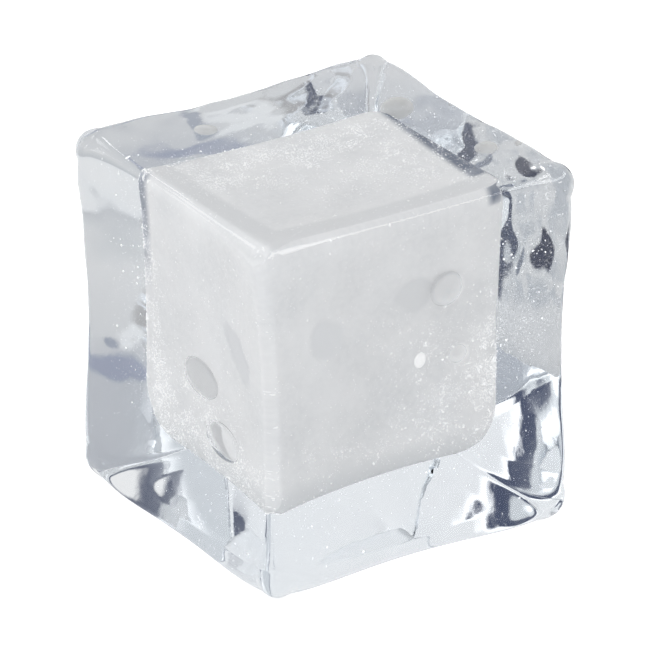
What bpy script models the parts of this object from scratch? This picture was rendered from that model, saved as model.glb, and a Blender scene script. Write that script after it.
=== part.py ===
"""A clear ice cube with a cloudy white core, standing on the flat rim of its base.

Sizes are in millimetres unless a comment says otherwise, and MM turns them into
metres. +Z is up, and the origin is on the ground under the middle of the cube.
A point of the cube is first given as three shares from -1 to 1, one for each
pair of faces. bend() then sinks the faces and shifts the melted corners, so the
core and its pocket, made of smaller shares, follow the faces of the block.
The clear ice is parted at the core's mid-height, so that the core has a pocket.
"""

import bpy
import bmesh
import numpy as np

MM = 0.001

# The clear block.
HALF = np.array([24.4, 24.6, 25.0])     # half sizes, measured at the corners
BASE_MELT = 0.7                 # melted off below, which leaves a flat rim to stand on
EDGE_ROUND = 0.059              # fillet at the middle of an edge, as a share of a half size
CORNER_ROUND = 0.187            # fillet of the corners
CRISP_CORNER = (-1, -1, 1)      # one corner that has melted less
CRISP_ROUND = 0.12              # and its fillet
WIDENING = 3.6                  # how late an edge widens towards its corners

# Depth of each face's hollow along an edge, as a share of the half size.
X_HOLLOW = {"up": 0.105, "across": 0.110}
Y_HOLLOW = {"up": 0.112, "across_top": 0.107, "across_base": 0.180}
TOP_HOLLOW = {"along_x": 0.078, "along_y": 0.067}
BASE_HOLLOW = 0.07              # in the middle of the base alone
FACE_FILL = {"side": 0.05, "top": 0.04}  # how much less the middle of a face is sunk

# How far each corner has melted out of square, by the signs of its shares.
CORNER_SHIFT = {
    (-1, -1, -1): (1.12, 0.54, 0.0),
    (1, -1, -1): (-0.20, -0.24, 0.0),
    (-1, 1, -1): (-0.28, -0.23, 0.0),
    (-1, -1, 1): (-0.20, 0.58, -1.45),
    (1, -1, 1): (-0.16, -0.20, 0.11),
    (-1, 1, 1): (-0.50, -0.24, -0.21),
    (1, 1, 1): (0.68, 0.12, 1.20),
}

# The cloudy core: clear ice left between it and each face.
TOP_ICE, BASE_ICE = 1.0, 11.4
LEFT_ICE = {"top": 1.2, "base": 1.6}
FRONT_ICE = {"top": 2.4, "base": 1.9}
RIGHT_ICE = {"top": 10.7, "base": 10.2}
BACK_ICE = {"top": 15.9, "base": 14.0}
CORNER_ICE = 1.0                # the same at the block's rounded corners
FAR_FACE_FLATNESS = 1.1         # 0 is as hollow as the block, 1 is flat, more bulges
# Fillets of its edges.
TOP_EDGE = 0.9
LOW_NEAR_EDGE = 2.4             # lower edges at the left and the front
LOW_FAR_EDGE = 8.0              # lower edges at the right and the back
LEFT_UPRIGHT = 1.2
RIGHT_UPRIGHT = 3.5

GAP = 0.3                       # between two pieces that touch
BLOCK_SQUARES = 20              # along an edge of the block
BLOCK_CROWDING = 0.75           # 0 spaces the squares evenly, 1 crowds them to the edges
CORE_SQUARES = 12
CORE_CROWDING = 0.85
SETTLING_ROUNDS = 16            # steps that bring a point to its surface

CLEAR_COLOUR = (0.80, 0.88, 0.92)
CLOUDY_COLOUR = (0.80, 0.82, 0.84)


def square_grid(squares, crowding):
    """A cube from -1 to 1 with a grid on each face, and its points."""
    mesh = bmesh.new()
    bmesh.ops.create_cube(mesh, size=2)
    bmesh.ops.subdivide_edges(mesh, edges=mesh.edges[:], cuts=squares - 1, use_grid_fill=True)
    even = np.array([vert.co for vert in mesh.verts])
    return mesh, crowding * np.sin(even * np.pi / 2) + (1 - crowding) * even


def filleted(walls, radius):
    """Reach of a point from its reach to each wall: 1 on walls joined by a fillet."""
    past = np.maximum(walls - 1 + radius, 0)
    length = np.sqrt((past * past).sum(axis=0))
    return np.where(length > 0, 1 - radius + length, walls.max(axis=0))


def settle(points, reach):
    """Slide points along their rays until their reach is 1."""
    for _ in range(SETTLING_ROUNDS):
        points = points / reach(points)[:, None]
    return points


def corner_weight(shares, signs):
    """1 at the corner of these signs, 0 on the faces that it doesn't touch."""
    return np.prod((1 + np.array(signs) * shares) / 2, axis=1)


def block_reach(shares):
    """1 on the block's skin: flat faces and edges that widen into round corners."""
    walls = np.abs(shares).T
    crispness = np.clip(corner_weight(shares, CRISP_CORNER), 0, 1)
    corner_round = CORNER_ROUND + (CRISP_ROUND - CORNER_ROUND) * crispness
    nearness = walls.min(axis=0) / walls.max(axis=0)
    widened = (np.minimum(nearness / (1 - corner_round), 1)) ** WIDENING
    return filleted(walls, EDGE_ROUND + (corner_round - EDGE_ROUND) * widened)


def hollows(shares):
    """How far each pair of faces is sunk at these points, as shares."""
    a, b, c = shares.T
    mid_a, mid_b, mid_c = (1 - share ** 2 for share in (a, b, c))
    lowness = (1 - c) / 2
    y_across = Y_HOLLOW["across_top"] * (1 - lowness) + Y_HOLLOW["across_base"] * lowness
    x_sunk = X_HOLLOW["up"] * mid_c + X_HOLLOW["across"] * mid_b - FACE_FILL["side"] * mid_c * mid_b
    y_sunk = Y_HOLLOW["up"] * mid_c + y_across * mid_a - FACE_FILL["side"] * mid_c * mid_a
    top_sunk = (TOP_HOLLOW["along_x"] * mid_a + TOP_HOLLOW["along_y"] * mid_b
                - FACE_FILL["top"] * mid_a * mid_b)
    z_sunk = np.where(c > 0, top_sunk, BASE_HOLLOW * mid_a * mid_b)
    return np.stack([x_sunk, y_sunk, z_sunk], axis=1)


def bend(shares):
    """Points in mm from their shares: hollow faces, shifted corners, flat rim."""
    points = shares * (1 - hollows(shares)) * HALF
    for signs, shift in CORNER_SHIFT.items():
        points += corner_weight(shares, signs)[:, None] * np.array(shift)
    points[:, 2] = np.maximum(points[:, 2] + HALF[2], BASE_MELT) - BASE_MELT
    return points


def core_reach(box, half):
    """1 on the core's skin: a box whose edges have fillets of their own."""
    x, y, z = box.T

    def pair(first, second, fillet, size):
        return filleted(np.abs(np.stack([first, second])), fillet / size)

    upright = np.where(x > 0, RIGHT_UPRIGHT, LEFT_UPRIGHT)
    side_edge = np.where(z > 0, TOP_EDGE, np.where(x > 0, LOW_FAR_EDGE, LOW_NEAR_EDGE))
    end_edge = np.where(z > 0, TOP_EDGE, np.where(y > 0, LOW_FAR_EDGE, LOW_NEAR_EDGE))
    plan = pair(x, y, upright, half[:2].min())
    return np.max([plan, pair(x, z, side_edge, half[0]), pair(y, z, end_edge, half[1])], axis=0)


def core_points(grid, clearance=0.0):
    """Grid points on the core's skin, or on its pocket's with a clearance."""
    low = np.array([LEFT_ICE["top"], FRONT_ICE["top"], BASE_ICE]) - HALF
    high = HALF - np.array([RIGHT_ICE["top"], BACK_ICE["top"], TOP_ICE])
    half = (high - low) / 2
    skin = settle(grid, lambda box: core_reach(box, half))
    placed = (low + high) / 2 + skin * (half + clearance)
    # Each upright face leans a little, by the ice left at its top and its base.
    lowness = (1 - skin[:, 2]) / 2
    for axis, near, far_side in ((0, LEFT_ICE, RIGHT_ICE), (1, FRONT_ICE, BACK_ICE)):
        placed[:, axis] += (1 - skin[:, axis]) / 2 * lowness * (near["base"] - near["top"])
        placed[:, axis] += (1 + skin[:, axis]) / 2 * lowness * (far_side["top"] - far_side["base"])
    shares = placed / HALF
    # Its right and back faces aren't hollow like the block's, so they undo that.
    far = (1 + skin[:, :2]) / 2
    shares[:, :2] /= 1 - FAR_FACE_FLATNESS * far * hollows(shares)[:, :2]
    # Its near corners keep inside the block's rounded ones.
    inside = 1 - (CORNER_ICE - clearance) / HALF.max()
    shares /= np.maximum(block_reach(shares / inside), 1)[:, None]
    return bend(shares)


def finish(name, colour, roughness):
    """A Principled material of this colour."""
    material = bpy.data.materials.new(name)
    material.use_nodes = True
    shader = material.node_tree.nodes["Principled BSDF"]
    shader.inputs["Base Color"].default_value = (*colour, 1)
    shader.inputs["Roughness"].default_value = roughness
    shader.inputs["Metallic"].default_value = 0.0
    return material


def solid(name, mesh, points, collection, material=None):
    """An object from a mesh and the points in mm that its corners take."""
    for vert, point in zip(mesh.verts, points):
        vert.co = point * MM
    # The core and its pocket get the same diagonals, so their gap stays even.
    bmesh.ops.triangulate(mesh, faces=mesh.faces[:], quad_method="FIXED")
    data = bpy.data.meshes.new(name)
    mesh.to_mesh(data)
    mesh.free()
    data.shade_smooth()
    thing = bpy.data.objects.new(name, data)
    collection.objects.link(thing)
    if material:
        data.materials.append(material)
    else:
        thing.hide_render = True
        thing.display_type = "WIRE"
    return thing


def layer(name, floor, ceiling, collection):
    """A cutter wider than the block, between two heights."""
    mesh = bmesh.new()
    bmesh.ops.create_cube(mesh, size=2)
    corners = np.array([vert.co for vert in mesh.verts])
    points = corners * 2 * HALF
    points[:, 2] = np.where(corners[:, 2] < 0, floor, ceiling)
    return solid(name, mesh, points, collection)


def cut(thing, operation, cutter):
    """Shape a piece with a cutter."""
    boolean = thing.modifiers.new(cutter.name, "BOOLEAN")
    boolean.operation = operation
    boolean.object = cutter
    boolean.solver = "EXACT"


def collection_named(name):
    collection = bpy.data.collections.new(name)
    bpy.context.scene.collection.children.link(collection)
    return collection


def build_core(parts, cutters):
    """The white core, and the cutter for the pocket around it."""
    mesh, grid = square_grid(CORE_SQUARES, CORE_CROWDING)
    cloudy = finish("cloudy_ice", CLOUDY_COLOUR, 0.60)
    solid("cloudy_core", mesh, core_points(grid), parts, cloudy)
    mesh, grid = square_grid(CORE_SQUARES, CORE_CROWDING)
    return solid("pocket", mesh, core_points(grid, GAP), cutters)


def build_clear_ice(parts, cutters, pocket):
    """The two halves of the clear ice, each around half of the pocket."""
    clear = finish("clear_ice", CLEAR_COLOUR, 0.05)
    parting = (BASE_ICE + 2 * HALF[2] - TOP_ICE) / 2 - BASE_MELT
    spans = {
        "clear_ice_lower": (-HALF[2], parting - GAP / 2),
        "clear_ice_upper": (parting + GAP / 2, 3 * HALF[2]),
    }
    for name, (floor, ceiling) in spans.items():
        mesh, grid = square_grid(BLOCK_SQUARES, BLOCK_CROWDING)
        half_block = solid(name, mesh, bend(settle(grid, block_reach)), parts, clear)
        cut(half_block, "DIFFERENCE", pocket)
        cut(half_block, "INTERSECT", layer(name + "_span", floor, ceiling, cutters))


def build_ice_block():
    for thing in list(bpy.data.objects):
        bpy.data.objects.remove(thing, do_unlink=True)
    parts = collection_named("ice_block")
    cutters = collection_named("cutters")
    pocket = build_core(parts, cutters)
    build_clear_ice(parts, cutters, pocket)


build_ice_block()
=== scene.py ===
"""A clear ice cube with a cloudy white core, as it looks: clear ice, frost and bubbles.

Sizes are in millimetres unless a comment says otherwise, and MM turns them into
metres. A point of the cube is first given as three shares from -1 to 1, one for
each pair of faces, and bend() turns shares into a place in the frame, with the
same hollow faces and melted corners as the solids.
"""

import math

import bmesh
import bpy
import numpy as np
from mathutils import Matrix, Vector, noise
from mathutils.bvhtree import BVHTree


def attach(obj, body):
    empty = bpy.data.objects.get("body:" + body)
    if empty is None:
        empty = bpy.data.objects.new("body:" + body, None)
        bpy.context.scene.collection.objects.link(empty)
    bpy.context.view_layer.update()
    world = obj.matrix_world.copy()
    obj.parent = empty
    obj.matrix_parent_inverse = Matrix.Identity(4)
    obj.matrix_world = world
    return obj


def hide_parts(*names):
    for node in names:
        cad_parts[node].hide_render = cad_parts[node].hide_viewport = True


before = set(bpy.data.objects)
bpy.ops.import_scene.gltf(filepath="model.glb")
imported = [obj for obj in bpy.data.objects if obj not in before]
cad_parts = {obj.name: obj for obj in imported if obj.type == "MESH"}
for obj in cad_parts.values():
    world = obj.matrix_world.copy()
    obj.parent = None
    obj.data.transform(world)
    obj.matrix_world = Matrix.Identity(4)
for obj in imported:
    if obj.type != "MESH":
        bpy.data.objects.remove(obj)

MM = 0.001
SEED = 7
SEED_STEPS = (17.3, 5.1, 29.7)  # how far apart the noise of two seeds lies
NOISE_FALLOFF = 0.5
NOISE_STEP = 2.0

# The clear block, as in the solids.
HALF = np.array([24.4, 24.6, 25.0])
BASE_MELT = 0.7
EDGE_ROUND = 0.059
CORNER_ROUND = 0.187
CRISP_CORNER = (-1, -1, 1)
CRISP_ROUND = 0.12
WIDENING = 3.6
X_HOLLOW = {"up": 0.105, "across": 0.110}
Y_HOLLOW = {"up": 0.112, "across_top": 0.107, "across_base": 0.180}
TOP_HOLLOW = {"along_x": 0.078, "along_y": 0.067}
BASE_HOLLOW = 0.07
FACE_FILL = {"side": 0.05, "top": 0.04}
CORNER_SHIFT = {
    (-1, -1, -1): (1.12, 0.54, 0.0),
    (1, -1, -1): (-0.20, -0.24, 0.0),
    (-1, 1, -1): (-0.28, -0.23, 0.0),
    (-1, -1, 1): (-0.20, 0.58, -1.45),
    (1, -1, 1): (-0.16, -0.20, 0.11),
    (-1, 1, 1): (-0.50, -0.24, -0.21),
    (1, 1, 1): (0.68, 0.12, 1.20),
}

# The cloudy core, as in the solids.
TOP_ICE, BASE_ICE = 1.0, 11.4
LEFT_ICE = {"top": 1.2, "base": 1.6}
FRONT_ICE = {"top": 2.4, "base": 1.9}
RIGHT_ICE = {"top": 10.7, "base": 10.2}
BACK_ICE = {"top": 15.9, "base": 14.0}
CORNER_ICE = 1.0
FAR_FACE_FLATNESS = 1.1
TOP_EDGE = 0.9
LOW_NEAR_EDGE = 2.4
LOW_FAR_EDGE = 8.0
LEFT_UPRIGHT = 1.2
RIGHT_UPRIGHT = 3.5
SETTLING_ROUNDS = 16

# Squares along each face of the grids, and how far they crowd towards the edges.
ICE_GRID = (110, 0.7)
CORE_GRID = (125, 0.6)

# Mean depth of the melt ripples, on the near faces and on the far ones by height.
RIPPLE = {"near": 0.04, "far low": 0.05, "far high": 0.2}
RIPPLE_HEIGHTS = (24, 36)
RIPPLE_SIZE = 8.0
FAR_SHARES = (0.6, 0.85)        # where the far faces begin, as shares of the half size
SMOOTH_FOOT = (0.0, 2.0)        # heights over which the ripples set in

# Axes across and up each visible face of the core, and the axis and way it looks.
FACE_AXES = {"left": (1, 2, 0, -1), "front": (0, 2, 1, -1), "top": (0, 1, 2, 1)}
FACE_SLANT = (1 / 3, 2 / 3)     # how squarely the skin has to look that way

# Pits in the core's skin: face, centre, half sizes, turn in degrees and depth.
DIMPLES = [
    ("left", (-2.5, 22.4), (4.0, 2.4), 0, 0.12),
    ("left", (-7.3, 15.7), (3.9, 2.3), 0, 0.35),
    ("left", (-12.5, 30.0), (4.2, 1.7), 50, 0.3),
    ("front", (5.8, 34.4), (2.3, 2.3), 0, 0.1),
    ("front", (7.7, 25.2), (1.6, 1.5), 0, 0.1),
    ("front", (1.0, 34.9), (3.0, 2.4), 0, 0.15),
    ("front", (-12.0, 32.2), (2.6, 3.0), 20, 0.2),
]
# Raised rim of a pit: its height in depths, and its place and width in half sizes.
RIM = {"height": 0.25, "place": 1.04, "width": 0.07}

# Where the frost lies thick: face, centre, half sizes, turn and thickness.
THIN_FROST = 0.03               # thickness elsewhere
FROST_BANDS = [
    ("left", (8.0, 26.0), (1.8, 13.0), 0, 0.9),
    ("left", (6.0, 16.0), (4.0, 4.0), 0, 0.9),
    ("left", (-6.0, 14.0), (14.0, 2.6), 0, 0.7),
    ("left", (-2.5, 18.5), (6.0, 4.0), 0, 0.5),
    ("front", (12.0, 21.0), (2.5, 6.5), 0, 0.9),
    ("front", (7.5, 19.0), (6.0, 5.0), 0, 0.5),
    ("front", (4.0, 28.0), (8.0, 6.0), 0, 0.2),
    ("front", (-6.0, 15.5), (12.0, 2.0), 0, 0.4),
    ("top", (0.0, 4.0), (10.0, 3.0), 0, 0.9),
    ("top", (-12.0, 2.0), (5.0, 3.5), 0, 0.7),
    ("top", (2.0, -3.0), (9.0, 5.0), 0, 0.3),
    ("top", (8.0, -7.0), (3.0, 7.0), 0, 0.3),
    ("left", (7.6, 37.0), (1.2, 9.0), 0, 0.4),
    ("top", (-16.0, 7.6), (6.0, 1.2), 0, 0.4),
    ("top", (12.2, -9.0), (1.2, 12.0), -5, 0.4),
]
FROST_CLUMPS = {"size": 3.0, "strength": 1.5}
BARE_PIT = (1.0, 0.875)         # keeps frost out of the pits, in half sizes
BARE_EDGE = (-44.5, -40.5)      # keeps it off the near upright edge, as x + y
FROST_CRYSTALS = 22000
FROST_TRIES = 8                 # places drawn for each crystal wanted
FROST_SIZE = (0.02, 0.065)
FROST_RISE = (-0.2, 1.0)        # how far a crystal stands off the skin, in its own sizes
LARGE_CRYSTALS = {"from": 0.93, "growth": 1.2}  # draws from 0 to 1 above this grow so much
CRYSTAL_TIP = 1.6               # length of a crystal's point, in its own half widths

# Relief of the core's skin: how far it is sunk, its swells, and its grain by frost.
CORE_SINK = 0.05
SWELL = {"size": 7.0, "depth": 0.05}
GRAIN = {"size": 0.9, "bare": 0.01, "frosty": 0.05}

# Tiny bubbles in the clear ice: how many, sizes and how far they stray from the core.
SPECKS = {"specks": (900, (0.03, 0.16), 4.5), "dust": (16000, (0.018, 0.045), 3.0)}
SPECK_TRIES = 14                # places drawn for each one wanted
SPECK_SHARES = 0.95             # how near to the block's skin they come
SPECK_GAP = 0.25                # and to the core's, in mm
ROUND_FROM = 0.1                # sizes that are made as balls
SPECK_ROUNDS = 2                # how finely such a ball is divided
FEW_LARGE = 4                   # the higher, the fewer are large
DRIFTS = {"size": 6.0, "level": 0.5}  # patches that vary about this level
STRAYS = 0.06                   # share of them that keep to no core
SHEER = 0.6                     # how squarely a face looks one way
NEAR_FACE_SHARE = 0.04
UNDER_CORE_SHARE = 0.15

BALL_ROUNDS = 4                 # how finely a pocket or a fleck is divided
# Air pockets in the clear ice: centre, half sizes and turn about the upright.
AIR_POCKETS = [
    ((-19.25, -3.0, 22.7), (0.2, 4.0, 2.5), 0),
    ((-19.2, -8.1, 16.1), (0.55, 4.0, 2.4), 0),
    ((5.2, -19.0, 34.8), (2.3, 0.13, 2.3), 0),
    ((7.2, -18.9, 25.5), (1.3, 0.1, 1.2), 0),
]

# Pale inclusions: one on the core's front, the rest in the clear ice behind it.
FLECKS = {
    "white_fleck": [((2.1, -17.95, 25.6), (0.95, 0.2, 1.0), 12)],
    "pale_bubbles": [
        ((17.0, 8.9, 44.5), (2.1, 1.2, 3.0), -33),
        ((18.7, -8.4, 44.8), (1.5, 1.0, 1.7), -33),
        ((-7.1, 16.2, 44.8), (1.5, 0.8, 1.4), -33),
    ],
}


# --- shapes -----------------------------------------------------------------

def square_grid(squares, crowding):
    """A cube from -1 to 1 with a grid on each face, and its points."""
    mesh = bmesh.new()
    bmesh.ops.create_cube(mesh, size=2)
    bmesh.ops.subdivide_edges(mesh, edges=mesh.edges[:], cuts=squares - 1, use_grid_fill=True)
    even = np.array([vert.co for vert in mesh.verts])
    return mesh, crowding * np.sin(even * np.pi / 2) + (1 - crowding) * even


def ramp(value, low, high):
    """0 at the low limit and 1 at the high one, or a fall if they are swapped."""
    return np.clip((value - low) / (high - low), 0, 1)


def filleted(walls, radius):
    """Reach of a point from its reach to each wall: 1 on walls joined by a fillet."""
    past = np.maximum(walls - 1 + radius, 0)
    length = np.sqrt((past * past).sum(axis=0))
    return np.where(length > 0, 1 - radius + length, walls.max(axis=0))


def settle(points, reach):
    """Slide points along their rays until their reach is 1."""
    for _ in range(SETTLING_ROUNDS):
        points = points / reach(points)[:, None]
    return points


def corner_weight(shares, signs):
    """1 at the corner of these signs, 0 on the faces that it doesn't touch."""
    return np.prod((1 + np.array(signs) * shares) / 2, axis=1)


def block_reach(shares):
    """1 on the block's skin: flat faces and edges that widen into round corners."""
    walls = np.abs(shares).T
    crispness = np.clip(corner_weight(shares, CRISP_CORNER), 0, 1)
    corner_round = CORNER_ROUND + (CRISP_ROUND - CORNER_ROUND) * crispness
    nearness = walls.min(axis=0) / walls.max(axis=0)
    widened = (np.minimum(nearness / (1 - corner_round), 1)) ** WIDENING
    return filleted(walls, EDGE_ROUND + (corner_round - EDGE_ROUND) * widened)


def hollows(shares):
    """How far each pair of faces is sunk at these points, as shares."""
    a, b, c = shares.T
    mid_a, mid_b, mid_c = (1 - share ** 2 for share in (a, b, c))
    lowness = (1 - c) / 2
    y_across = Y_HOLLOW["across_top"] * (1 - lowness) + Y_HOLLOW["across_base"] * lowness
    x_sunk = X_HOLLOW["up"] * mid_c + X_HOLLOW["across"] * mid_b - FACE_FILL["side"] * mid_c * mid_b
    y_sunk = Y_HOLLOW["up"] * mid_c + y_across * mid_a - FACE_FILL["side"] * mid_c * mid_a
    top_sunk = (TOP_HOLLOW["along_x"] * mid_a + TOP_HOLLOW["along_y"] * mid_b
                - FACE_FILL["top"] * mid_a * mid_b)
    z_sunk = np.where(c > 0, top_sunk, BASE_HOLLOW * mid_a * mid_b)
    return np.stack([x_sunk, y_sunk, z_sunk], axis=1)


def bend(shares):
    """Points in mm from their shares: hollow faces, shifted corners, flat rim."""
    points = shares * (1 - hollows(shares)) * HALF
    for signs, shift in CORNER_SHIFT.items():
        points += corner_weight(shares, signs)[:, None] * np.array(shift)
    points[:, 2] = np.maximum(points[:, 2] + HALF[2], BASE_MELT) - BASE_MELT
    return points


def core_reach(box, half):
    """1 on the core's skin: a box whose edges have fillets of their own."""
    x, y, z = box.T

    def pair(first, second, fillet, size):
        return filleted(np.abs(np.stack([first, second])), fillet / size)

    upright = np.where(x > 0, RIGHT_UPRIGHT, LEFT_UPRIGHT)
    side_edge = np.where(z > 0, TOP_EDGE, np.where(x > 0, LOW_FAR_EDGE, LOW_NEAR_EDGE))
    end_edge = np.where(z > 0, TOP_EDGE, np.where(y > 0, LOW_FAR_EDGE, LOW_NEAR_EDGE))
    plan = pair(x, y, upright, half[:2].min())
    return np.max([plan, pair(x, z, side_edge, half[0]), pair(y, z, end_edge, half[1])], axis=0)


def core_points(grid):
    """Grid points on the core's skin."""
    low = np.array([LEFT_ICE["top"], FRONT_ICE["top"], BASE_ICE]) - HALF
    high = HALF - np.array([RIGHT_ICE["top"], BACK_ICE["top"], TOP_ICE])
    half = (high - low) / 2
    skin = settle(grid, lambda box: core_reach(box, half))
    placed = (low + high) / 2 + skin * half
    lowness = (1 - skin[:, 2]) / 2
    for axis, near, far_side in ((0, LEFT_ICE, RIGHT_ICE), (1, FRONT_ICE, BACK_ICE)):
        placed[:, axis] += (1 - skin[:, axis]) / 2 * lowness * (near["base"] - near["top"])
        placed[:, axis] += (1 + skin[:, axis]) / 2 * lowness * (far_side["top"] - far_side["base"])
    shares = placed / HALF
    far = (1 + skin[:, :2]) / 2
    shares[:, :2] /= 1 - FAR_FACE_FLATNESS * far * hollows(shares)[:, :2]
    inside = 1 - CORNER_ICE / HALF.max()
    shares /= np.maximum(block_reach(shares / inside), 1)[:, None]
    return bend(shares)


def layered_noise(points, size, layers=3, seed=0.0):
    """Smooth noise from about -1 to 1 at points in mm, with features of this size."""
    offset = Vector([seed * step for step in SEED_STEPS])
    places = (Vector(point) / size + offset for point in points)
    return np.array([noise.fractal(place, NOISE_FALLOFF, NOISE_STEP, layers) for place in places])


def new_piece(name, data, material, body="root"):
    """A piece of the scene that rides with the block."""
    data.materials.append(material)
    piece = bpy.data.objects.new(name, data)
    bpy.context.scene.collection.objects.link(piece)
    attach(piece, body)
    return piece


# --- materials ----------------------------------------------------------------

# Sizes of patches and bumps are in mm across, and their depths in mm.
MOTTLING_DETAIL = 5.0
CLEAR_TINTS = [(1.0, 1.0, 1.0), (0.985, 0.993, 1.0)]
CLEAR_PATCHES = 12
CLEAR_BUMPS = {"size": 5, "depth": 0.02, "sharpness": 0.1}
ICE_IOR = 1.31
DEPTH_TINT = (0.70, 0.86, 1.0)
DEPTH_DENSITY = 4.5
CORE_TONES = [(0.83, 0.84, 0.855), (0.94, 0.945, 0.955)]
CORE_PATCHES = 9
FINE_TONE = (0.98, 0.985, 0.99)
FINE_PATCHES = {"size": 0.7, "sharpness": 0.4}
FINE_SHARE = 0.25
CORE_ROUGHNESS = {"size": 2, "low": 0.4, "high": 0.7}
CORE_BUMPS = {"size": 0.5, "depth": 0.02, "sharpness": 0.2}
UP = (0, 0, 1)
DOWN = (0, 0, -1)
NO_LIGHT = (0.0, 0.0, 0.0)
ONE_BOUNCE = 0.5                # Light Path's depths are over this from the first bounce on
# Painted shade on the core's far sides, in dark blue tones: the way the side looks, from where to
# where in mm that way, from what height, and its two tones.
FAR_SIDE_SHADE = [
    ((1, 0, 0), (13.2, 13.8), (22, 26), [(0.66, 0.69, 0.73), (0.88, 0.89, 0.90)]),
    ((1, -0.097, 0), (12.0, 13.3), (44.6, 45.4), [(0.13, 0.16, 0.23), (0.30, 0.33, 0.40)]),
    ((-0.25, 1, 0.06), (13.8, 15.4), (28, 40), [(0.30, 0.33, 0.40), (0.60, 0.63, 0.69)]),
]
FAR_SHADE_PATCHES = {"size": 4, "high": 1.4, "sharpness": 0.4}
# Sides of the core: the axes across and up it, the way it looks and where it begins.
SIDES = {
    "far": (("Y", "Z"), (1, 0, 0), (13.2, 13.7)),
    "left": (("Y", "Z"), (-1, 0, 0), (15, 16)),
    "front": (("X", "Z"), (0, -1, 0), (12, 13)),
}
# Shade on the core where the ice's walls mirror it: side, centre, half sizes, turn, tone.
MIRRORED_SHADE = [
    ("far", (-7.6, 33.6), (2.8, 3.4), 10, (0.06, 0.07, 0.12)),
    ("far", (5.2, 31.5), (2.4, 8.5), 0, (0.10, 0.12, 0.19)),
    ("far", (-0.2, 30.6), (1.1, 3.4), 25, (0.32, 0.35, 0.42)),
]
# Painted shade in the core's pits, as slightly darker spots, given in the same way.
PIT_SHADE_SPOTS = [
    ("left", (-12.5, 30.0), (4.6, 2.0), 50, (0.80, 0.81, 0.83)),
    ("front", (1.0, 34.9), (3.0, 2.4), 0, (0.84, 0.85, 0.865)),
    ("front", (-12.0, 32.2), (2.6, 3.0), 20, (0.87, 0.88, 0.895)),
]
# Painted light: a glow on the core behind the air pockets, given in the same way.
POCKET_GLOW_SPOTS = [
    ("left", (-2.5, 22.4), (4.0, 2.4), 0, (0.08, 0.08, 0.08)),
    ("left", (-7.3, 15.7), (3.9, 2.3), 0, (0.05, 0.05, 0.05)),
    ("front", (5.8, 34.4), (2.3, 2.3), 0, (0.14, 0.14, 0.14)),
    ("front", (7.7, 25.2), (1.6, 1.5), 0, (0.12, 0.12, 0.12)),
]
SPOT_EDGE = (1.1, 0.75)         # where a spot fades in, in its own half sizes
SPOT_WOBBLE = 3                 # mm across the waves in the edge of a spot
WOBBLE = {"low": -0.4, "high": 0.4, "sharpness": 0.1}  # their reach, in half sizes
# Painted shade: a dimmer band on the core's top, along its two near edges.
TOP_EDGE_SHADE = {"sides": [((-1, 0, 0), (16.6, 17.7)), ((0, -1, 0), (15.5, 16.6))],
            "facing": (0.7, 0.97), "tone": (0.81, 0.82, 0.835)}
LOW_RIM = (12.4, 15.0)          # heights over which the darker tone at the core's foot fades out
LOW_TONE = (0.83, 0.845, 0.86)
# Painted light: a glow on the core where its skin faces down.
UNDERSIDE_GLOW = {"facing": (0.8, 0.95), "glow": (0.3, 0.3, 0.3)}
FROST_TONES = [(0.93, 0.945, 0.96), (0.99, 0.99, 0.99)]
BUBBLE_TONES = [(0.72, 0.72, 0.705), (0.82, 0.82, 0.82)]
# The pale materials: their tones, and the strength of a painted glow that stands in for the light
# they scatter.
PALE_MATERIALS = {
    "frost": (FROST_TONES, 0.28),
    "tiny_bubbles": (FROST_TONES, 0.6),
    "white_fleck": (FROST_TONES, 0.2),
    "pale_bubbles": (BUBBLE_TONES, 0.0),
}
PALE_PATCHES = 1.5
PALE_ROUGHNESS = 0.2


def mottling_group():
    """Soft mottling: a value between two limits that wanders over the surface."""
    group = bpy.data.node_groups.new("soft_mottling", "ShaderNodeTree")
    for socket in ("Size", "Low", "High", "Sharpness"):
        group.interface.new_socket(socket, in_out="INPUT", socket_type="NodeSocketFloat")
    group.interface.new_socket("Value", in_out="OUTPUT", socket_type="NodeSocketFloat")
    nodes, links = group.nodes, group.links
    given = nodes.new("NodeGroupInput")
    out = nodes.new("NodeGroupOutput")
    place = nodes.new("ShaderNodeTexCoord")
    speckle = nodes.new("ShaderNodeTexNoise")
    speckle.inputs["Detail"].default_value = MOTTLING_DETAIL
    scale = nodes.new("ShaderNodeMath")
    scale.operation = "DIVIDE"
    scale.inputs[0].default_value = 1 / MM
    links.new(given.outputs["Size"], scale.inputs[1])
    links.new(scale.outputs[0], speckle.inputs["Scale"])
    links.new(place.outputs["Object"], speckle.inputs["Vector"])
    spread = nodes.new("ShaderNodeMapRange")
    links.new(speckle.outputs["Fac"], spread.inputs["Value"])
    links.new(given.outputs["Sharpness"], spread.inputs["From Min"])
    links.new(given.outputs["Low"], spread.inputs["To Min"])
    links.new(given.outputs["High"], spread.inputs["To Max"])
    flip = nodes.new("ShaderNodeMath")
    flip.operation = "SUBTRACT"
    flip.inputs[0].default_value = 1.0
    links.new(given.outputs["Sharpness"], flip.inputs[1])
    links.new(flip.outputs[0], spread.inputs["From Max"])
    links.new(spread.outputs["Result"], out.inputs["Value"])
    return group


def principled(name):
    """A new material, its node tree and its main shader."""
    material = bpy.data.materials.new(name)
    material.use_nodes = True
    tree = material.node_tree
    return material, tree, tree.nodes["Principled BSDF"]


def math_node(tree, operation, first, second):
    """Result of a sum on two numbers or sockets."""
    node = tree.nodes.new("ShaderNodeMath")
    node.operation = operation
    for socket, value in zip(node.inputs, (first, second)):
        if isinstance(value, (int, float)):
            socket.default_value = value
        else:
            tree.links.new(value, socket)
    return node.outputs[0]


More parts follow.
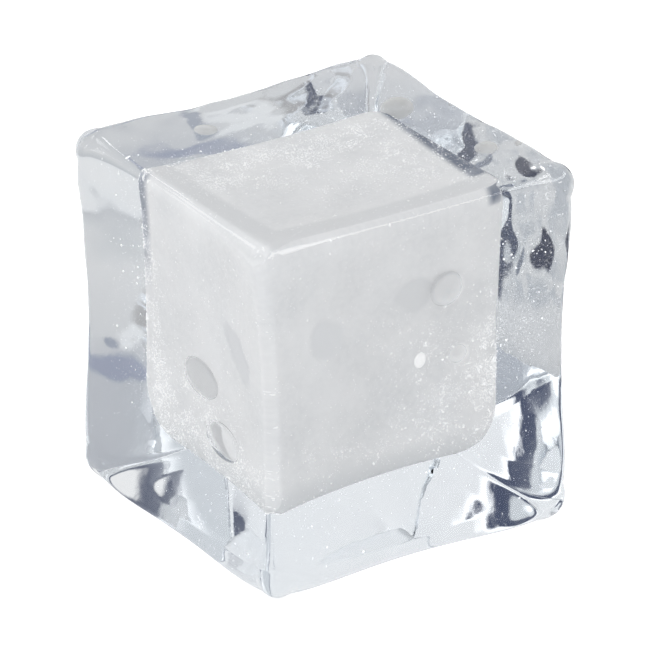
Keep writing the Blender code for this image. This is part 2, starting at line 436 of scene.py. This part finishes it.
def mixed(tree, factor, first, second):
    """Colour of the first where the factor is 0, and of the second where it is 1."""
    node = tree.nodes.new("ShaderNodeMix")
    node.data_type = "RGBA"
    tree.links.new(factor, node.inputs["Factor"])
    for name, value in (("A", first), ("B", second)):
        if isinstance(value, tuple):
            node.inputs[name].default_value = (*value, 1)
        else:
            tree.links.new(value, node.inputs[name])
    return node.outputs["Result"]


def rise(tree, value, low, high):
    """0 at the low limit and 1 at the high one, or a fall if they are swapped."""
    node = tree.nodes.new("ShaderNodeMapRange")
    node.interpolation_type = "SMOOTHSTEP"
    tree.links.new(value, node.inputs["Value"])
    node.inputs["From Min"].default_value = low
    node.inputs["From Max"].default_value = high
    return node.outputs["Result"]


def patches(tree, mottling, size, low=0.0, high=1.0, sharpness=0.3):
    """A value that wanders between two limits, in patches of about this size in mm."""
    node = tree.nodes.new("ShaderNodeGroup")
    node.node_tree = mottling
    for name, value in (("Size", size), ("Low", low), ("High", high), ("Sharpness", sharpness)):
        node.inputs[name].default_value = value
    return node.outputs["Value"]


def roughen(tree, shader, mottling, size, depth, sharpness):
    """Bumps of this size and depth in mm on the skin of a material."""
    bump = tree.nodes.new("ShaderNodeBump")
    bump.inputs["Distance"].default_value = depth * MM
    height = patches(tree, mottling, size, sharpness=sharpness)
    tree.links.new(height, bump.inputs["Height"])
    tree.links.new(bump.outputs["Normal"], shader.inputs["Normal"])


def clear_ice_material(mottling):
    """See-through ice: faintly blue in depth, with melt ripples."""
    material, tree, shader = principled("clear_ice")
    tint = mixed(tree, patches(tree, mottling, CLEAR_PATCHES), *CLEAR_TINTS)
    tree.links.new(tint, shader.inputs["Base Color"])
    roughen(tree, shader, mottling, **CLEAR_BUMPS)
    shader.inputs["Metallic"].default_value = 0
    shader.inputs["Transmission Weight"].default_value = 1
    shader.inputs["IOR"].default_value = ICE_IOR
    shader.inputs["Roughness"].default_value = 0.0
    depth = tree.nodes.new("ShaderNodeVolumeAbsorption")
    depth.inputs["Color"].default_value = (*DEPTH_TINT, 1)
    depth.inputs["Density"].default_value = DEPTH_DENSITY
    tree.links.new(depth.outputs[0], tree.nodes["Material Output"].inputs["Volume"])
    return material


def along(tree, vector, direction):
    """How far a vector reaches in a direction."""
    node = tree.nodes.new("ShaderNodeVectorMath")
    node.operation = "DOT_PRODUCT"
    node.inputs[1].default_value = direction
    tree.links.new(vector, node.inputs[0])
    return node.outputs["Value"]


def beyond(tree, direction, limits):
    """0 short of the first limit in mm, measured this way from the foot, 1 past the second."""
    place = tree.nodes.new("ShaderNodeTexCoord").outputs["Object"]
    return rise(tree, along(tree, place, direction), *(limit * MM for limit in limits))


def facing(tree, direction, limits):
    """1 where the skin looks nearly this way, 0 where it turns away."""
    normal = tree.nodes.new("ShaderNodeNewGeometry").outputs["Normal"]
    return rise(tree, along(tree, normal, direction), *limits)


def from_ellipse(tree, place, centre, radii, turn):
    """Distance from the middle of an ellipse in x and y: 1 on its edge."""
    fitted = tree.nodes.new("ShaderNodeMapping")
    fitted.vector_type = "TEXTURE"
    fitted.inputs["Location"].default_value = (centre[0] * MM, centre[1] * MM, 0)
    fitted.inputs["Rotation"].default_value = (0, 0, math.radians(turn))
    fitted.inputs["Scale"].default_value = (radii[0] * MM, radii[1] * MM, 1)
    tree.links.new(place, fitted.inputs["Vector"])
    away = tree.nodes.new("ShaderNodeVectorMath")
    away.operation = "LENGTH"
    tree.links.new(fitted.outputs["Vector"], away.inputs[0])
    return away.outputs["Value"]


def spotted(tree, tone, spots, wobble):
    """A tone with spots of other tones on the sides of the core."""
    place = tree.nodes.new("ShaderNodeTexCoord")
    parts = tree.nodes.new("ShaderNodeSeparateXYZ")
    tree.links.new(place.outputs["Object"], parts.inputs[0])
    for side, centre, radii, turn, spot_tone in spots:
        axes, direction, limits = SIDES[side]
        across = tree.nodes.new("ShaderNodeCombineXYZ")
        for axis, socket in zip(axes, across.inputs):
            tree.links.new(parts.outputs[axis], socket)
        away = from_ellipse(tree, across.outputs[0], centre, radii, turn)
        inside = rise(tree, math_node(tree, "ADD", away, wobble), *SPOT_EDGE)
        inside = math_node(tree, "MULTIPLY", inside, beyond(tree, direction, limits))
        tone = mixed(tree, inside, tone, spot_tone)
    return tone


def core_tone(tree, mottling):
    """Tones of the core as seen: cloudy patches, a darker foot, and painted shade on its far sides,
    in its pits, along its top edges and where the ice mirrors it.
    """
    tone = mixed(tree, patches(tree, mottling, CORE_PATCHES), *CORE_TONES)
    fine = math_node(tree, "MULTIPLY", patches(tree, mottling, **FINE_PATCHES), FINE_SHARE)
    tone = mixed(tree, fine, tone, FINE_TONE)
    tone = mixed(tree, beyond(tree, UP, LOW_RIM), LOW_TONE, tone)
    # Painted shade on the core's far sides.
    for direction, limits, heights, tones in FAR_SIDE_SHADE:
        far_shade_tones = mixed(tree, patches(tree, mottling, **FAR_SHADE_PATCHES), *tones)
        inside = math_node(
            tree, "MULTIPLY", beyond(tree, direction, limits), beyond(tree, UP, heights))
        tone = mixed(tree, inside, tone, far_shade_tones)
    # Painted shade along the top's near edges.
    band = math_node(tree, "MAXIMUM", *(beyond(tree, *side) for side in TOP_EDGE_SHADE["sides"]))
    band = math_node(tree, "MULTIPLY", band, facing(tree, UP, TOP_EDGE_SHADE["facing"]))
    tone = mixed(tree, band, tone, TOP_EDGE_SHADE["tone"])
    wobble = patches(tree, mottling, SPOT_WOBBLE, **WOBBLE)
    # Painted shade in the pits.
    tone = spotted(tree, tone, PIT_SHADE_SPOTS, wobble)
    path = tree.nodes.new("ShaderNodeLightPath")
    mirrored = math_node(tree, "GREATER_THAN", path.outputs["Glossy Depth"], ONE_BOUNCE)
    return mixed(tree, mirrored, tone, spotted(tree, tone, MIRRORED_SHADE, wobble))


def cloudy_ice_material(mottling):
    """White ice full of fine bubbles, with painted shade in places and a painted glow behind the
    air pockets and on its underside.
    """
    material, tree, shader = principled("cloudy_ice")
    tree.links.new(core_tone(tree, mottling), shader.inputs["Base Color"])
    tree.links.new(patches(tree, mottling, **CORE_ROUGHNESS), shader.inputs["Roughness"])
    roughen(tree, shader, mottling, **CORE_BUMPS)
    # Painted light: a glow behind the air pockets and on the underside.
    spots = spotted(tree, NO_LIGHT, POCKET_GLOW_SPOTS, 0.0)
    glow = mixed(tree, facing(tree, DOWN, UNDERSIDE_GLOW["facing"]), spots, UNDERSIDE_GLOW["glow"])
    tree.links.new(glow, shader.inputs["Emission Color"])
    shader.inputs["Emission Strength"].default_value = 1
    return material


def pale_material(name, mottling):
    """Fine bright crystals or bubbles, with a painted glow in place of the light they scatter."""
    tones, glow = PALE_MATERIALS[name]
    material, tree, shader = principled(name)
    tone = mixed(tree, patches(tree, mottling, PALE_PATCHES), *tones)
    tree.links.new(tone, shader.inputs["Base Color"])
    shader.inputs["Roughness"].default_value = PALE_ROUGHNESS
    shader.inputs["Emission Color"].default_value = (1, 1, 1, 1)
    shader.inputs["Emission Strength"].default_value = glow
    return material


# --- pieces -------------------------------------------------------------------

def move_along_normals(mesh, depths):
    """Shift each point of a mesh along its own normal by its depth in mm."""
    mesh.normal_update()
    normals = [vert.normal.copy() for vert in mesh.verts]
    for vert, normal, depth in zip(mesh.verts, normals, depths):
        vert.co += normal * depth * MM


def data_from(mesh, name):
    """Smooth mesh data from a working mesh, which is let go."""
    data = bpy.data.meshes.new(name)
    mesh.to_mesh(data)
    mesh.free()
    data.shade_smooth()
    return data


def ripple_depth(points):
    """Mean depth of the ripples: shallow on the near faces, deep high on the far ones."""
    x, y, z = points.T
    far = ramp(np.maximum(x / HALF[0], y / HALF[1]), *FAR_SHARES)
    height = ramp(z, *RIPPLE_HEIGHTS)
    far_depth = RIPPLE["far low"] + (RIPPLE["far high"] - RIPPLE["far low"]) * height
    off_base = ramp(z, *SMOOTH_FOOT)
    return (RIPPLE["near"] + (far_depth - RIPPLE["near"]) * far) * off_base


def add_ball(mesh, centre, radii, turn, inside_out=False):
    """Add a flattened ball with these half sizes, turned about its upright axis."""
    ball = bmesh.ops.create_icosphere(mesh, subdivisions=BALL_ROUNDS, radius=1)["verts"]
    cos, sin = math.cos(math.radians(turn)), math.sin(math.radians(turn))
    for vert in ball:
        x, y, z = (side * radius for side, radius in zip(vert.co, radii))
        turned = (x * cos - y * sin, x * sin + y * cos, z)
        vert.co = Vector([side + middle for side, middle in zip(turned, centre)]) * MM
    if inside_out:
        faces = {face for vert in ball for face in vert.link_faces}
        bmesh.ops.reverse_faces(mesh, faces=list(faces))


def build_clear_ice(material):
    """The clear ice in one piece, with air pockets."""
    mesh, grid = square_grid(*ICE_GRID)
    points = bend(settle(grid, block_reach))
    for vert, point in zip(mesh.verts, points):
        vert.co = point * MM
    ripple = layered_noise(points, RIPPLE_SIZE, 2, seed=1)
    move_along_normals(mesh, -ripple_depth(points) * (1 + ripple))
    for centre, radii, turn in AIR_POCKETS:
        add_ball(mesh, centre, radii, turn, inside_out=True)
    piece = new_piece("clear_ice", data_from(mesh, "clear_ice"), material)
    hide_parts("clear_ice_lower", "clear_ice_upper")


def in_face(face, points):
    """Coordinates in mm across and up a face of the core, for points in mm."""
    across, up = FACE_AXES[face][:2]
    return points[:, across], points[:, up]


def on_face(face, normals):
    """1 where the skin looks the way of this face."""
    axis, sign = FACE_AXES[face][2:]
    return ramp(normals[:, axis] * sign, *FACE_SLANT)


def ellipse_distance(face, points, centre, radii, turn):
    """Distance from the centre of an ellipse on a face: 1 on its edge."""
    u, v = in_face(face, points)
    du, dv = u - centre[0], v - centre[1]
    cos, sin = math.cos(math.radians(turn)), math.sin(math.radians(turn))
    return np.hypot((du * cos + dv * sin) / radii[0], (dv * cos - du * sin) / radii[1])


def dimple_depth(points, normals):
    """Round pits that bubbles have left in the core's skin, with raised rims."""
    depth = np.zeros(len(points))
    for face, *ellipse, deep in DIMPLES:
        away = ellipse_distance(face, points, *ellipse)
        bowl = np.sqrt(np.clip(1 - away ** 2, 0, 1))
        rim = np.exp(-((away - RIM["place"]) / RIM["width"]) ** 2)
        depth += on_face(face, normals) * (deep * bowl - RIM["height"] * deep * rim)
    return depth


def frostiness(points, normals):
    """How thick the frost is, from 0 to 1, at points on the core's skin."""
    amount = np.full(len(points), THIN_FROST)
    for face, *ellipse, thick in FROST_BANDS:
        away = ellipse_distance(face, points, *ellipse)
        amount += on_face(face, normals) * thick * np.exp(-away ** 2)
    for face, *ellipse, _ in DIMPLES:
        away = ellipse_distance(face, points, *ellipse)
        amount *= 1 - on_face(face, normals) * ramp(away, *BARE_PIT)
    amount *= ramp(points[:, 0] + points[:, 1], *BARE_EDGE)
    clumps = layered_noise(points, FROST_CLUMPS["size"], 3, seed=5)
    return np.clip(amount * (1 + FROST_CLUMPS["strength"] * clumps), 0, 1)


def build_core(material):
    """The cloudy core, pitted and grainy. Returns its skin, for what lies on it."""
    mesh, grid = square_grid(*CORE_GRID)
    points = core_points(grid)
    for vert, point in zip(mesh.verts, points):
        vert.co = point * MM
    mesh.normal_update()
    normals = np.array([vert.normal for vert in mesh.verts])
    frosty = frostiness(points, normals)
    swell = SWELL["depth"] * layered_noise(points, SWELL["size"], 2, seed=2)
    grain = layered_noise(points, GRAIN["size"], 3, seed=3)
    grain = (GRAIN["bare"] + GRAIN["frosty"] * frosty) * grain
    move_along_normals(mesh, -CORE_SINK + swell + grain - dimple_depth(points, normals))
    mesh.normal_update()
    skin = BVHTree.FromBMesh(mesh)
    piece = new_piece("cloudy_ice", data_from(mesh, "cloudy_ice"), material)
    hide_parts("cloudy_core")
    return skin


def joined_copies(name, shape, places, sizes, turns):
    """One mesh of many copies of a small shape, each at its place, size and turn."""
    corners = np.array([vert.co for vert in shape.verts])
    faces = np.array([[vert.index for vert in face.verts] for face in shape.faces])
    count = len(places)
    spun = np.einsum("nij,kj->nki", turns, corners)
    points = (spun * sizes[:, None, None] + places[:, None, :]).reshape(-1, 3) * MM
    first_corners = np.arange(count)[:, None, None] * len(corners)
    indices = (faces[None] + first_corners).reshape(-1, faces.shape[1])
    data = bpy.data.meshes.new(name)
    data.from_pydata(points.tolist(), [], indices.tolist())
    return data


def random_turns(random, count):
    """Rotations spread evenly over all directions."""
    quaternions = random.normal(size=(count, 4))
    w, x, y, z = (quaternions / np.linalg.norm(quaternions, axis=1)[:, None]).T
    rows = [
        [1 - 2 * (y * y + z * z), 2 * (x * y - w * z), 2 * (x * z + w * y)],
        [2 * (x * y + w * z), 1 - 2 * (x * x + z * z), 2 * (y * z - w * x)],
        [2 * (x * z - w * y), 2 * (y * z + w * x), 1 - 2 * (x * x + y * y)],
    ]
    return np.array(rows).transpose(2, 0, 1)


def small_ball():
    """A coarse round ball."""
    ball = bmesh.new()
    bmesh.ops.create_icosphere(ball, subdivisions=SPECK_ROUNDS, radius=1)
    return ball


def crystal():
    """An eight-sided crystal, pointed at both ends."""
    shape = bmesh.new()
    waist = [shape.verts.new(co) for co in ((1, 0, 0), (0, 1, 0), (-1, 0, 0), (0, -1, 0))]
    top = shape.verts.new((0, 0, CRYSTAL_TIP))
    bottom = shape.verts.new((0, 0, -CRYSTAL_TIP))
    for here, there in zip(waist, waist[1:] + waist[:1]):
        shape.faces.new((here, there, top))
        shape.faces.new((there, here, bottom))
    shape.verts.index_update()
    return shape


def spots_on_core(random, skin, wanted):
    """Places on the core's skin, thicker where there is more frost, with their normals."""
    cube = random.uniform(-1, 1, size=(wanted * FROST_TRIES, 3))
    axis = random.integers(0, 3, len(cube))
    cube[np.arange(len(cube)), axis] = random.choice((-1, 1), len(cube))
    points = core_points(cube)
    hits = [skin.find_nearest(Vector(point) * MM)[:2] for point in points]
    places = np.array([place / MM for place, _ in hits])
    normals = np.array([normal for _, normal in hits])
    kept = random.uniform(0, 1, len(cube)) < frostiness(places, normals)
    return places[kept][:wanted], normals[kept][:wanted]


def build_frost(skin, material):
    """Fine crystals over the core's skin, thick in bands and round the bubbles."""
    random = np.random.default_rng(SEED)
    places, normals = spots_on_core(random, skin, FROST_CRYSTALS)
    count = len(places)
    sizes = random.uniform(*FROST_SIZE, count)
    large = random.uniform(0, 1, count) > LARGE_CRYSTALS["from"]
    sizes = sizes * (1 + LARGE_CRYSTALS["growth"] * large)
    places = places + normals * random.uniform(*FROST_RISE, (count, 1)) * sizes[:, None]
    data = joined_copies("frost", crystal(), places, sizes, random_turns(random, count))
    new_piece("frost", data, material)


def places_in_clear_ice(random, skin, wanted, stray):
    """Places outside the core, thicker near its far faces and in drifts."""
    shares = random.uniform(-SPECK_SHARES, SPECK_SHARES, size=(wanted * SPECK_TRIES, 3))
    points = bend(shares)
    drifts = layered_noise(points, DRIFTS["size"], 2, seed=9)
    draws = random.uniform(0, 1, len(points))
    chosen = []
    for point, drift, draw in zip(points, drifts, draws):
        place, normal = skin.find_nearest(Vector(point) * MM)[:2]
        away = (Vector(point) * MM - place).dot(normal) / MM
        if away < SPECK_GAP:
            continue
        likely = STRAYS + math.exp(-away / stray) * max(0.0, DRIFTS["level"] + drift)
        if min(normal.x, normal.y) < -SHEER or normal.z > SHEER:
            likely *= NEAR_FACE_SHARE
        elif normal.z < -SHEER:
            likely *= UNDER_CORE_SHARE
        if draw < likely:
            chosen.append(point)
    return np.array(chosen[:wanted])


def build_specks(skin, material):
    """Tiny bubbles scattered through the clear ice, some as fine as dust."""
    for seed, (name, (wanted, (least, most), stray)) in enumerate(SPECKS.items(), SEED + 1):
        random = np.random.default_rng(seed)
        places = places_in_clear_ice(random, skin, wanted, stray)
        count = len(places)
        sizes = least + (most - least) * random.uniform(0, 1, count) ** FEW_LARGE
        shape = small_ball() if most > ROUND_FROM else crystal()
        data = joined_copies(name, shape, places, sizes, random_turns(random, count))
        data.shade_smooth()
        new_piece(name, data, material)


def build_flecks(name, material):
    """Pale inclusions, each a flattened ball."""
    mesh = bmesh.new()
    for place in FLECKS[name]:
        add_ball(mesh, *place)
    new_piece(name, data_from(mesh, name), material)


# --- studio --------------------------------------------------------------------

# Where the camera stands: its turn about the block, its height and how far off it is.
AIM = math.radians(-32.93)
TILT = math.radians(24.55)
DISTANCE = 492.5
MIDDLE = HALF[2] - BASE_MELT    # height it looks at
SENSOR = 36
PICTURE = 650                   # pixels each way
FOCAL = 3932                    # pixels
OFF_CENTRE = (-1.86, -4.2)      # pixels right and down
NEAREST = 10                    # what is nearer isn't drawn

FLOOR_SIZE = 4000
FLOOR_DROP = 0.1
FLOOR_ROUGHNESS = 0.7
FLOOR_WHITE = (0.99, 0.99, 0.99)
BARE_GLOW = 0.4                 # keeps the bare floor white to the block's foot
UNDER_GLOW = 0.07               # light that reaches the core from below
# Painted patches of light and shadow that the ice shows on the floor: centre, half sizes, turn in
# degrees, tone.
FLOOR_PATCHES = [
    ((27.0, 32.5), (8.0, 3.0), -5, (0.75, 0.77, 0.79)),
    ((12.0, 30.9), (11.8, 3.7), -26, (0.30, 0.33, 0.43)),
    ((17.5, 35.6), (2.6, 1.8), -10, (0.32, 0.35, 0.42)),
]
PATCH_EDGE = (0.6, 1.2)         # where a patch fades out, in its own half sizes
PATCH_WOBBLE = 5                # mm across the waves in the edge of a patch
# Tone of the floor as the ice shows it, by distance from the block's middle: a painted shadow near
# the block and a darker ring further out.
FLOOR_RINGS = [
    (26, (0.50, 0.52, 0.56)),
    (34, (0.48, 0.50, 0.54)),
    (42, (0.60, 0.615, 0.635)),
    (72, (0.62, 0.63, 0.645)),
    (88, (0.54, 0.56, 0.58)),
    (112, (0.47, 0.49, 0.52)),
    (124, (0.68, 0.70, 0.72)),
    (150, (0.70, 0.715, 0.73)),
]
# Waves of light and shade that the ice shows on the floor, inside an ellipse.
FLOOR_WAVES = {
    "centre": (44, 29), "radii": (18, 8), "edge": (0.6, 1.1),
    "wide": 3.5, "long": 14, "limits": (0.40, 0.60),
    "tones": [(0.36, 0.36, 0.37), (0.80, 0.85, 0.92)],
}

# What is seen through the ice: bearing in degrees from +Y towards +X, and the tone there.
GAP_TONE = (0.05, 0.065, 0.12)
BACK_TONE = (0.82, 0.825, 0.83)
SIDE_TONE = (0.62, 0.64, 0.66)
FRONT_TONE = (1.3, 1.3, 1.3)
STUDIO_WALLS = [
    (-179, FRONT_TONE),
    (-110, FRONT_TONE),
    (-80, (0.66, 0.68, 0.70)),
    (-64, (0.62, 0.64, 0.66)),
    (-59, GAP_TONE),
    (-46, GAP_TONE),
    (-42.5, (1.4, 1.4, 1.4)),
    (-36, BACK_TONE),
    (67.5, BACK_TONE),
    (70.5, GAP_TONE),
    (79, GAP_TONE),
    (84, (0.66, 0.68, 0.71)),
    (108, SIDE_TONE),
    (140, SIDE_TONE),
    (170, FRONT_TONE),
]
CEILING = (48, 62)              # degrees up where the overhead light begins
CEILING_TONE = (0.85, 0.85, 0.85)
BACKDROP_TONE = (1.0, 1.0, 1.0)  # behind the block, past the ice

# The soft light that whitens the core and the floor, brighter towards its side.
FILL_TONE = 1.02
FILL_SLOPE = 0.36
FILL_SIDE = (-0.85, -0.03, 0.1)

# What the skin of the ice mirrors: a pale tent and strips, as bearings and heights.
MIRRORED_TONE = 0.9
STRIPS = [
    ((-40, -30), (8, 26), 2.0),
    ((-20, -2), (26, 40), 2.5),
    ((16, 23), (33, 40), 6.0),
    ((100, 170), (37, 50), 9.0),
]
STRIP_SOFTNESS = 1.5            # degrees


def towards_camera():
    """Direction from the block's middle to the camera."""
    return Vector((math.sin(AIM) * math.cos(TILT), -math.cos(AIM) * math.cos(TILT), math.sin(TILT)))


def build_camera():
    """A long lens that looks down on the block's near upright edge."""
    lens = bpy.data.cameras.new("camera")
    camera = bpy.data.objects.new("camera", lens)
    bpy.context.scene.collection.objects.link(camera)
    lens.sensor_width = SENSOR
    lens.lens = FOCAL / PICTURE * lens.sensor_width
    lens.clip_start = NEAREST * MM
    lens.shift_x = -OFF_CENTRE[0] / PICTURE
    lens.shift_y = OFF_CENTRE[1] / PICTURE
    back = towards_camera()
    camera.location = (Vector((0, 0, MIDDLE)) + back * DISTANCE) * MM
    camera.rotation_mode = "QUATERNION"
    camera.rotation_quaternion = (-back).to_track_quat("-Z", "Y")
    bpy.context.scene.camera = camera


def gradient(tree, value, stops):
    """A tone that follows a value from 0 to 1 through stops, each a value and a tone."""
    node = tree.nodes.new("ShaderNodeValToRGB")
    tree.links.new(value, node.inputs["Fac"])
    marks = node.color_ramp.elements
    while len(marks) < len(stops):
        marks.new(1.0)
    for mark, (there, _) in zip(marks, stops):
        mark.position = there
    for mark, (_, tone) in zip(marks, stops):
        mark.color = (*tone, 1)
    return node.outputs["Color"]


def ray_kinds(tree):
    """Light Path, with 1 for rays that matt skin scatters and 1 for rays outside the ice."""
    path = tree.nodes.new("ShaderNodeLightPath")
    scattered = math_node(tree, "GREATER_THAN", path.outputs["Diffuse Depth"], ONE_BOUNCE)
    outside = math_node(tree, "LESS_THAN", path.outputs["Transmission Depth"], ONE_BOUNCE)
    return path, scattered, outside


def floor_rings(tree, place):
    """Tone of the floor by distance from its middle."""
    away = tree.nodes.new("ShaderNodeVectorMath")
    away.operation = "LENGTH"
    tree.links.new(place, away.inputs[0])
    reach = FLOOR_RINGS[-1][0]
    share = tree.nodes.new("ShaderNodeMapRange")
    share.inputs["From Max"].default_value = reach * MM
    tree.links.new(away.outputs["Value"], share.inputs["Value"])
    stops = [(radius / reach, tone) for radius, tone in FLOOR_RINGS]
    return gradient(tree, share.outputs["Result"], stops)


def floor_waves(tree, place):
    """Uneven stripes of light and shade."""
    stretched = tree.nodes.new("ShaderNodeMapping")
    stretched.vector_type = "TEXTURE"
    wide, long = (FLOOR_WAVES[way] * MM for way in ("wide", "long"))
    stretched.inputs["Scale"].default_value = (wide, long, 1)
    tree.links.new(place, stretched.inputs["Vector"])
    ripples = tree.nodes.new("ShaderNodeTexNoise")
    ripples.inputs["Scale"].default_value = 1.0
    tree.links.new(stretched.outputs["Vector"], ripples.inputs["Vector"])
    lightness = rise(tree, ripples.outputs["Fac"], *FLOOR_WAVES["limits"])
    return mixed(tree, lightness, *FLOOR_WAVES["tones"])


def seen_floor(tree, mottling):
    """Tone of the floor as the ice shows it: painted rings, waves and patches of light and shadow.
    """
    place = tree.nodes.new("ShaderNodeTexCoord").outputs["Object"]
    away = from_ellipse(tree, place, FLOOR_WAVES["centre"], FLOOR_WAVES["radii"], 0)
    outside = rise(tree, away, *FLOOR_WAVES["edge"])
    seen = mixed(tree, outside, floor_waves(tree, place), floor_rings(tree, place))
    wobble = patches(tree, mottling, PATCH_WOBBLE, **WOBBLE)
    for *ellipse, tone in FLOOR_PATCHES:
        away = math_node(tree, "ADD", from_ellipse(tree, place, *ellipse), wobble)
        seen = mixed(tree, rise(tree, away, *PATCH_EDGE), tone, seen)
    return seen


def build_floor(mottling):
    """A white sweep. Seen through the ice it is painted a softer grey, with painted shadow and
    light.
    """
    bpy.ops.mesh.primitive_plane_add(size=FLOOR_SIZE * MM, location=(0, 0, -FLOOR_DROP * MM))
    floor = bpy.context.object
    floor.name = "floor"
    material, tree, shader = principled("floor")
    path, scattered, outside = ray_kinds(tree)
    plain = math_node(tree, "MAXIMUM", scattered, outside)
    tone = mixed(tree, plain, seen_floor(tree, mottling), FLOOR_WHITE)
    tree.links.new(tone, shader.inputs["Base Color"])
    shader.inputs["Emission Color"].default_value = (1, 1, 1, 1)
    glow = math_node(tree, "MULTIPLY", scattered, UNDER_GLOW)
    bare = math_node(tree, "MULTIPLY", path.outputs["Is Camera Ray"], BARE_GLOW)
    tree.links.new(math_node(tree, "ADD", glow, bare), shader.inputs["Emission Strength"])
    shader.inputs["Roughness"].default_value = FLOOR_ROUGHNESS
    shader.inputs["Specular IOR Level"].default_value = 0.0
    floor.data.materials.append(material)


def turn_share(bearing):
    """Place of a bearing on the gradient, which runs from -X by -Y."""
    return ((90 - bearing) / 360 + 0.5) % 1


def studio_walls(tree, around):
    """Tone of the studio around the block, by the compass."""
    stops = sorted((turn_share(bearing), tone) for bearing, tone in STUDIO_WALLS)
    return gradient(tree, around, stops)


def window(tree, value, low, high, softness):
    """1 between two limits, fading to 0 outside them."""
    inside = rise(tree, value, low - softness, low + softness)
    past = rise(tree, value, high - softness, high + softness)
    return math_node(tree, "SUBTRACT", inside, past)


def mirrored_tent(tree, around, height):
    """Brightness of the pale tent and its bright strips."""
    total = MIRRORED_TONE
    for bearings, heights, strength in STRIPS:
        turns = sorted(turn_share(bearing) for bearing in bearings)
        across = window(tree, around, *turns, STRIP_SOFTNESS / 360)
        sines = [math.sin(math.radians(angle)) for angle in heights]
        up = window(tree, height, *sines, math.radians(STRIP_SOFTNESS))
        strip = math_node(tree, "MULTIPLY", math_node(tree, "MULTIPLY", across, up), strength)
        total = math_node(tree, "ADD", strip, total)
    return total


def build_light():
    """A studio in three layers: seen through the ice, lighting the white, and mirrored."""
    world = bpy.data.worlds.new("studio")
    bpy.context.scene.world = world
    world.use_nodes = True
    tree = world.node_tree
    direction = tree.nodes.new("ShaderNodeTexCoord").outputs["Generated"]
    around = tree.nodes.new("ShaderNodeTexGradient")
    around.gradient_type = "RADIAL"
    tree.links.new(direction, around.inputs["Vector"])
    parts = tree.nodes.new("ShaderNodeSeparateXYZ")
    tree.links.new(direction, parts.inputs[0])
    height = parts.outputs["Z"]

    overhead = rise(tree, height, *(math.sin(math.radians(angle)) for angle in CEILING))
    seen = mixed(tree, overhead, studio_walls(tree, around.outputs["Fac"]), CEILING_TONE)

    sloping = math_node(tree, "MULTIPLY", along(tree, direction, FILL_SIDE), FILL_SLOPE)
    fill = math_node(tree, "ADD", sloping, FILL_TONE)

    path, scattered, outside = ray_kinds(tree)
    tent = mirrored_tent(tree, around.outputs["Fac"], height)
    unscattered = mixed(tree, outside, seen, tent)
    behind = mixed(tree, path.outputs["Is Camera Ray"], unscattered, BACKDROP_TONE)
    tree.links.new(mixed(tree, scattered, behind, fill), tree.nodes["Background"].inputs["Color"])
    bpy.context.scene.view_settings.view_transform = "Standard"


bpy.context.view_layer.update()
mottling = mottling_group()
build_clear_ice(clear_ice_material(mottling))
core_skin = build_core(cloudy_ice_material(mottling))
build_frost(core_skin, pale_material("frost", mottling))
build_specks(core_skin, pale_material("tiny_bubbles", mottling))
for fleck in FLECKS:
    build_flecks(fleck, pale_material(fleck, mottling))
build_camera()
build_floor(mottling)
build_light()
